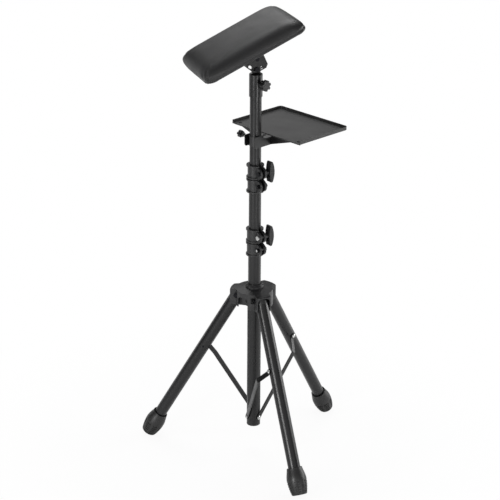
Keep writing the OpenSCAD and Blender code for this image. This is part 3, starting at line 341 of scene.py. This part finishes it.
# %% [markdown]
# ## The cushion, 1: a starting shape
# The real pad is a foam block glued on a board, with one sheet of faux leather pulled over both
# and stapled underneath. So the skin starts as the measured cushion and board together, laid
# flat in the pad's own axes, and a voxel remesh at 3.6 mm turns the two into one even net of
# squares. The foam part starts a little low, because the pressure will swell it, and a hair
# longer and wider, because the remesh shaves it.

# %% One net over foam and board
corners = [to_pad @ v.co for v in nodes["pad_board"].data.vertices]
BOARD_LOW, BOARD_TOP = min(c.z for c in corners), max(c.z for c in corners)
CROWN = max((to_pad @ v.co).z for v in nodes["pad_cushion"].data.vertices)
PAD_X = (min(c.x for c in corners) + max(c.x for c in corners))/2
HALF_L = max(c.x for c in corners) - PAD_X
HALF_W = max(abs(c.y) for c in corners)
CORNER, VOXEL = 26*MM, 3.6*MM
EDGE_BAND, START_LOW = 1*MM, 1.5*MM
LONGER, WIDER = 0.006, 0.008


def piece_of(name, net):
    """An object from a bmesh, smooth-shaded."""
    mesh = bpy.data.meshes.new(name)
    net.to_mesh(mesh)
    net.free()
    for face in mesh.polygons:
        face.use_smooth = True
    return put(name, mesh)


def settle(piece):
    """Applies a piece's modifiers to its own mesh."""
    made = bpy.data.meshes.new_from_object(
        piece.evaluated_get(bpy.context.evaluated_depsgraph_get()))
    piece.modifiers.clear()
    piece.data = made


def relax(piece, name, times, group=""):
    """Smooths a piece's net, all of it or one vertex group."""
    smooth = piece.modifiers.new(name, "SMOOTH")
    smooth.factor, smooth.iterations, smooth.vertex_group = 0.5, times, group
    settle(piece)


def held_to_one(value):
    """A value kept between 0 and 1."""
    return max(0, min(1, value))


net = bmesh.new()
for n in ("pad_cushion", "pad_board"):
    net.from_mesh(nodes[n].data)
net.transform(to_pad)
bmesh.ops.remove_doubles(net, verts=net.verts, dist=0.01*MM)
measured = BVHTree.FromBMesh(net)
for v in net.verts:
    if v.co.z > BOARD_TOP + EDGE_BAND:
        grown = (v.co.z - BOARD_TOP)/(CROWN - BOARD_TOP)
        v.co.x = PAD_X + (v.co.x - PAD_X)*(1 + LONGER*grown)
        v.co.y *= 1 + WIDER*grown
        v.co.z -= START_LOW*grown
cover = piece_of("pad_cover", net)
remesh = cover.modifiers.new("even_net", "REMESH")
remesh.mode, remesh.voxel_size = "VOXEL", VOXEL
settle(cover)
print("cover net:", len(cover.data.polygons), "faces; board half size in mm:",
      round(HALF_L/MM, 1), round(HALF_W/MM, 1))

# %% [markdown]
# ## The cushion, 2: air in the skin
# Foam pushes outward as air does, so the cloth solver gets a pressure and no gravity. The rows
# on the board are pinned. Twenty frames are enough. Each point may travel 2.5 mm out but only
# 1 mm in, because the foam holds the skin up. A remesh shaves the edges off, so each point that
# ended inside the measured foam is brought back out to it. Then the crown is rounded: foam
# under a tight skin has no plateau, so its upper part is smoothed and domed by 3.5 mm, and the net
# is subdivided once.

# %% Pressure
FRAMES, OUT_LIMIT, IN_LIMIT = 20, 2.5*MM, 1.0*MM
COVER_GAP, DOME = 0.3*MM, 3.5*MM
ROUND_FROM, ROUND_OVER, ROUND_TIMES, DOME_OVER = 0.2, 0.4, 40, 0.6
before = [v.co.copy() for v in cover.data.vertices]
held = cover.vertex_groups.new(name="stapled")
held.add([i for i, c in enumerate(before) if c.z < BOARD_TOP + EDGE_BAND], 1.0, "REPLACE")
cloth = cover.modifiers.new("cloth", "CLOTH")
cloth.settings.use_pressure = True
cloth.settings.uniform_pressure_force = 4
cloth.settings.effector_weights.gravity = 0
cloth.settings.vertex_group_mass = "stapled"
cloth.settings.quality = 6
cloth.settings.tension_stiffness = cloth.settings.compression_stiffness = 20
cloth.settings.bending_stiffness = 2
cloth.point_cache.frame_start, cloth.point_cache.frame_end = 1, FRAMES
for number in range(1, FRAMES + 1):
    bpy.context.scene.frame_set(number)
settle(cover)
bpy.context.scene.frame_set(1)
far_most = 0
normals = [v.normal.copy() for v in cover.data.vertices]
for v, start, out in zip(cover.data.vertices, before, normals):
    move = v.co - start
    far_most = max(far_most, move.length)
    limit = OUT_LIMIT if move.dot(out) > 0 else IN_LIMIT
    v.co = start + move*min(1, limit/max(move.length, 1e-9))
print("largest move in mm:", round(far_most/MM, 1))
relax(cover, "even", 1)
filled = 0
for v in cover.data.vertices:
    spot, out = measured.find_nearest(v.co)[:2]
    if (v.co - spot).dot(out) < COVER_GAP:
        v.co = spot + out*COVER_GAP
        filled += 1
print("points brought out to the measured foam:", filled)
rise = [(v.co.z - BOARD_TOP)/(CROWN - BOARD_TOP) for v in cover.data.vertices]
crown = cover.vertex_groups.new(name="crown")
for i, share in enumerate(rise):
    crown.add([i], held_to_one((share - ROUND_FROM)/ROUND_OVER), "REPLACE")
relax(cover, "rounder", ROUND_TIMES, "crown")
for v, share in zip(cover.data.vertices, rise):
    along, across = (v.co.x - PAD_X)/HALF_L, v.co.y/HALF_W
    dome = max(0, 1 - along**2)*max(0, 1 - across**2)
    v.co.z += DOME*dome*held_to_one((share - ROUND_FROM)/DOME_OVER)
cover.modifiers.new("finer", "SUBSURF").levels = 1
settle(cover)
print("crown in mm over the board:",
      round((max(v.co.z for v in cover.data.vertices) - BOARD_TOP)/MM, 1))

# %% [markdown]
# ## The studio
# Black things are lit by what they mirror, so each lamp stands where one surface mirrors it. In
# their gloss the room is near black, and lighter only in front. The overhead softbox, set back,
# gives the pad's near shoulder its glow, a low one behind does the same for the tray, and one
# high on the left lights the pad's low end. The left softbox lays the bright strip on the front
# leg, the low strip on the right a narrow one on the mast, and the panel on the right rims it.
# A tall strip at the rear left does that for the other side. The floor is a pale sweep, and near
# the stand it keeps its soft shadow.

# %% Floor
FLOOR_RADIUS, FLOOR_DROP = 30, 0.4*MM
SHADOW_NEAR, SHADOW_FAR, NEAR_GLOW = 0.3, 0.9, 0.92
ground = bpy.data.meshes.new("floor")
sheet = bmesh.new()
bmesh.ops.create_circle(sheet, cap_ends=True, segments=96, radius=FLOOR_RADIUS)
bmesh.ops.translate(sheet, verts=sheet.verts, vec=(0, 0, -FLOOR_DROP))
sheet.to_mesh(ground)
sheet.free()
floor = put("floor", ground)
sweep, tree, skin = blank("paper_sweep_white")
skin.inputs["Base Color"].default_value = linear("#e6e6e6")
skin.inputs["Roughness"].default_value = 0.8
seen = add(tree, "LightPath").outputs["Is Camera Ray"]
away = add(tree, "VectorMath", {0: add(tree, "TexCoord").outputs["Object"]}, operation="LENGTH")
far = add(tree, "MapRange", {"Value": away.outputs["Value"], "From Min": SHADOW_NEAR,
                             "From Max": SHADOW_FAR, "To Min": NEAR_GLOW, "To Max": 1.0},
          interpolation_type="SMOOTHSTEP")
share = add(tree, "Math", {0: seen, 1: far.outputs["Result"]}, operation="MULTIPLY")
glow = add(tree, "Emission", {"Color": (1, 1, 1, 1), "Strength": 1.0})
both = add(tree, "MixShader", {0: share.outputs["Value"], 1: skin.outputs["BSDF"],
                               2: glow.outputs["Emission"]})
tree.links.new(both.outputs["Shader"], tree.nodes["Material Output"].inputs["Surface"])
floor.data.materials.append(sweep)
print("floor radius:", FLOOR_RADIUS, "m")

# %% World and lamps
FRONT_WALL, DARK_WALL, ROOM_LIGHT = 0.6, 0.07, 0.5
world = bpy.data.worlds.new("studio")
bpy.context.scene.world = world
world.use_nodes = True
tree = world.node_tree
path = add(tree, "LightPath")
straight = add(tree, "Math", {0: path.outputs["Is Camera Ray"], 1: path.outputs["Is Glossy Ray"]},
               operation="MAXIMUM")
shown = add(tree, "Math", {0: straight.outputs["Value"], 1: path.outputs["Is Transmission Ray"]},
            operation="MAXIMUM")
heading = add(tree, "SeparateXYZ", {0: add(tree, "TexCoord").outputs["Generated"]})
front = add(tree, "MapRange", {"Value": heading.outputs["Y"], "From Min": -0.9, "From Max": -0.2,
                               "To Min": FRONT_WALL, "To Max": DARK_WALL},
            interpolation_type="SMOOTHSTEP")
wall = add(tree, "Math", {0: front.outputs["Result"], 1: path.outputs["Is Camera Ray"]},
           operation="MAXIMUM")
room = add(tree, "Mix", {0: shown.outputs["Value"], 2: ROOM_LIGHT, 3: wall.outputs["Value"]})
tree.links.new(room.outputs["Result"], tree.nodes["Background"].inputs["Strength"])
tree.nodes["Background"].inputs["Color"].default_value = (1, 1, 1, 1)


def lamp(name, place, aim, size, power):
    """A rectangular soft lamp at a place, turned to a point."""
    light = bpy.data.lights.new(name, "AREA")
    light.shape, light.size, light.size_y = "RECTANGLE", size[0], size[1]
    light.energy = power
    holder = put(name, light)
    holder.location = place
    holder.rotation_euler = (Vector(aim) - Vector(place)).to_track_quat("-Z", "Y").to_euler()


lamp("overhead_softbox", (0.0, 1.2, 3.0), (0, 0, 1.1), (1.3, 0.9), 26)
lamp("rear_softbox", (-0.6, 2.6, 2.5), (0, 0, 1.1), (1.3, 1.0), 5)
lamp("right_low_strip", (1.2, -2.4, 0.3), (0, 0, 0.6), (0.5, 0.5), 8)
lamp("left_softbox", (-1.65, -2.35, 0.85), (0, 0, 0.4), (0.9, 0.7), 30)
lamp("right_panel", (2.4, 0.8, 0.9), (0, 0, 0.6), (2.4, 1.2), 40)
lamp("low_rear_softbox", (0.0, 2.8, 1.85), (0, 0, 0.9), (1.6, 0.7), 3)
lamp("left_high_softbox", (-2.4, -0.6, 2.3), (0, 0, 1.0), (0.5, 0.5), 12)
lamp("left_rim_strip", (-2.1, 1.6, 1.0), (0, 0, 0.6), (0.4, 2.2), 5)

# %% [markdown]
# ## The cushion, 3: pleats and the turned hem
# Where the sheet goes round a corner it has too much stuff, and the upholsterer pulls it into a
# pleat, a valley between two ridges that run up to the corner of the top, weaker at the high end.
# The pleats are pressed in after the remesh, because a net of squares would have lost them, and
# so is the faint seam where the foam ends on the board. Underneath, the sheet is folded over the
# board's edge and ends in a hem 17 mm wide.

# %% Pleats at the corners
def corner_of(x, y, reach=CORNER):
    """The corner's centre beyond which a point lies, and which way it points; None on a side."""
    sx, sy = math.copysign(1, x - PAD_X), math.copysign(1, y)
    centre = Vector((PAD_X + sx*(HALF_L - reach), sy*(HALF_W - reach)))
    out = Vector((x, y)) - centre
    return (centre, out) if out.x*sx > 0 and out.y*sy > 0 else None


def rim_distance(x, y):
    """How far inside the board's outline a point lies, and the way towards the outline."""
    found = corner_of(x, y)
    if found:
        return CORNER - found[1].length, found[1].normalized()
    gap_x, gap_y = HALF_L - abs(x - PAD_X), HALF_W - abs(y)
    if gap_x < gap_y:
        return gap_x, Vector((math.copysign(1, x - PAD_X), 0))
    return gap_y, Vector((0, math.copysign(1, y)))


FOLD, RIDGE, PLEAT_REACH = 2.8*MM, 5.5*MM, 46*MM
RIDGE_HIGH, VALLEY_DEEP, HIGH_END_SHARE = 2.4*MM, 3.0*MM, 0.4
PLEAT_LOW, FADE_END, FADE_OVER = 2*MM, 0.95, 0.5
SEAM_DEEP, SEAM_WIDE, RIM_BAND = 1.1*MM, 1.8*MM, 6*MM


def pleat(across):
    """Height of the pleat at a distance from its middle: a valley between two ridges."""
    valley = math.exp(-(across/FOLD)**2)
    ridges = sum(math.exp(-((across - side*RIDGE)/FOLD)**2) for side in (-1, 1))
    return RIDGE_HIGH*ridges - VALLEY_DEEP*valley


pushes = []
for v in cover.data.vertices:
    found = corner_of(v.co.x, v.co.y, PLEAT_REACH)
    push = Vector((0, 0, 0))
    deep, outward = rim_distance(v.co.x, v.co.y)
    if deep < RIM_BAND:
        seam = math.exp(-((v.co.z - BOARD_TOP)/SEAM_WIDE)**2)
        push -= outward.to_3d()*seam*SEAM_DEEP
    if found and v.co.z > BOARD_LOW + PLEAT_LOW:
        across = (abs(found[1].x) - abs(found[1].y))/math.sqrt(2)
        rise = (v.co.z - BOARD_LOW)/(CROWN - BOARD_LOW)
        fade = held_to_one((FADE_END - rise)/FADE_OVER)
        fade *= 1.0 if v.co.x < PAD_X else HIGH_END_SHARE
        push += v.normal*pleat(across)*fade
    pushes.append(push)
for v, push in zip(cover.data.vertices, pushes):
    v.co += push
print("pleat depth in mm:", round((pleat(RIDGE) - pleat(0))/MM, 1))

# %% Turned hem
HEM, HEM_THICK, HEM_RIPPLE, RIPPLES = 17*MM, 0.6*MM, 0.35*MM, 14
UNDER_BAND, EDGE_ROUND, CUT_WAVE = 1.5*MM, 2.5*MM, 0.5*MM
net = bmesh.new()
net.from_mesh(cover.data)
for v in net.verts:
    if v.co.z < BOARD_LOW + UNDER_BAND and rim_distance(v.co.x, v.co.y)[0] > EDGE_ROUND:
        found = corner_of(v.co.x, v.co.y)
        ripple = math.sin(RIPPLES*math.atan2(found[1].y, found[1].x)) if found else 0
        v.co.z = BOARD_LOW - HEM_THICK - abs(ripple)*HEM_RIPPLE
middle = [f for f in net.faces if all(
    v.co.z < BOARD_LOW + 1*MM and rim_distance(v.co.x, v.co.y)[0] > HEM for v in f.verts)]
bmesh.ops.delete(net, geom=middle, context="FACES")
edge = [e for e in net.edges if e.is_boundary]
for v in {v for e in edge for v in e.verts}:
    deep, outward = rim_distance(v.co.x, v.co.y)
    slip = deep - HEM - CUT_WAVE*math.sin(v.co.x*90 + v.co.y*130)
    v.co.x += outward.x*slip
    v.co.y += outward.y*slip
fold = bmesh.ops.extrude_edge_only(net, edges=edge)
for v in [g for g in fold["geom"] if isinstance(g, bmesh.types.BMVert)]:
    v.co.z += HEM_THICK
net.to_mesh(cover.data)
net.free()
print("hem cut from", len(middle), "faces")

# %% [markdown]
# ## The board and its staples
# The board is 8 mm plywood with a black stain, cut like the outline and a little smaller than the
# skin. Staples of 0.7 mm wire hold the hem every 24 mm, each a short bridge with its legs in
# the wood, which one bevelled curve draws best.

# %% Board
BOARD_INSET, ARC = 3*MM, 8
net = bmesh.new()
outline = []
for sx, sy, turn in ((1, 1, 0), (-1, 1, 90), (-1, -1, 180), (1, -1, 270)):
    for k in range(ARC + 1):
        a = math.radians(turn + 90*k/ARC)
        outline.append(net.verts.new((
            PAD_X + sx*(HALF_L - CORNER) + (CORNER - BOARD_INSET)*math.cos(a),
            sy*(HALF_W - CORNER) + (CORNER - BOARD_INSET)*math.sin(a), BOARD_LOW)))
under = net.faces.new(outline)
raised = bmesh.ops.extrude_face_region(net, geom=[under])
for v in [g for g in raised["geom"] if isinstance(g, bmesh.types.BMVert)]:
    v.co.z = BOARD_TOP - 1*MM
bmesh.ops.recalc_face_normals(net, faces=net.faces)
net.transform(pad_place)
board = piece_of("pad_plywood_board", net)
soften(board, 0.8)
dress(board, plywood)
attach(board, "pad")
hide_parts("pad_board")
print("board corners:", len(outline))

# %% Staples
wire = bpy.data.curves.new("pad_staples", "CURVE")
STAPLE, STEP, WIRE, LEG = 9*MM, 24*MM, 0.7*MM, 1.5*MM
wire.dimensions, wire.bevel_depth, wire.bevel_resolution = "3D", WIRE/2, 2
inset = 10*MM
spans = []
for sy in (1, -1):
    count = int((HALF_L - CORNER)*2/STEP)
    spans += [(PAD_X + (k - count/2)*STEP, sy*(HALF_W - inset), 0) for k in range(count + 1)]
for sx in (1, -1):
    count = int((HALF_W - CORNER)*2/STEP)
    spans += [(PAD_X + sx*(HALF_L - inset), (k - count/2)*STEP, 90) for k in range(count + 1)]
for sx, sy in ((1, 1), (-1, 1), (-1, -1), (1, -1)):
    reach = (CORNER - inset)/math.sqrt(2)
    spans.append((PAD_X + sx*(HALF_L - CORNER + reach), sy*(HALF_W - CORNER + reach), -45*sx*sy))
for x, y, turn in spans:
    along = Vector((math.cos(math.radians(turn)), math.sin(math.radians(turn)), 0))*STAPLE/2
    top = Vector((x, y, BOARD_LOW - HEM_THICK - 0.25*MM))
    line = wire.splines.new("POLY")
    line.points.add(3)
    leg = Vector((0, 0, LEG))
    for point, spot in zip(line.points, (top - along + leg, top - along, top + along,
                                         top + along + leg)):
        point.co = (*spot, 1)
staples = put("pad_staples", wire)
wire.transform(pad_place)
wire.materials.append(zinc)
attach(staples, "pad")
print("staples:", len(spans))

# %% [markdown]
# ## The cushion, 4: back in its place
# The skin goes back onto the slanted pad, rides with it and takes the place of the measured foam.

# %% Place the cover
cover.data.transform(pad_place)
cover.data.update()
dress(cover, leather)
for face in cover.data.polygons:
    face.use_smooth = True
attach(cover, "pad")
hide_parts("pad_cushion")
print("cover:", len(cover.data.polygons), "faces")
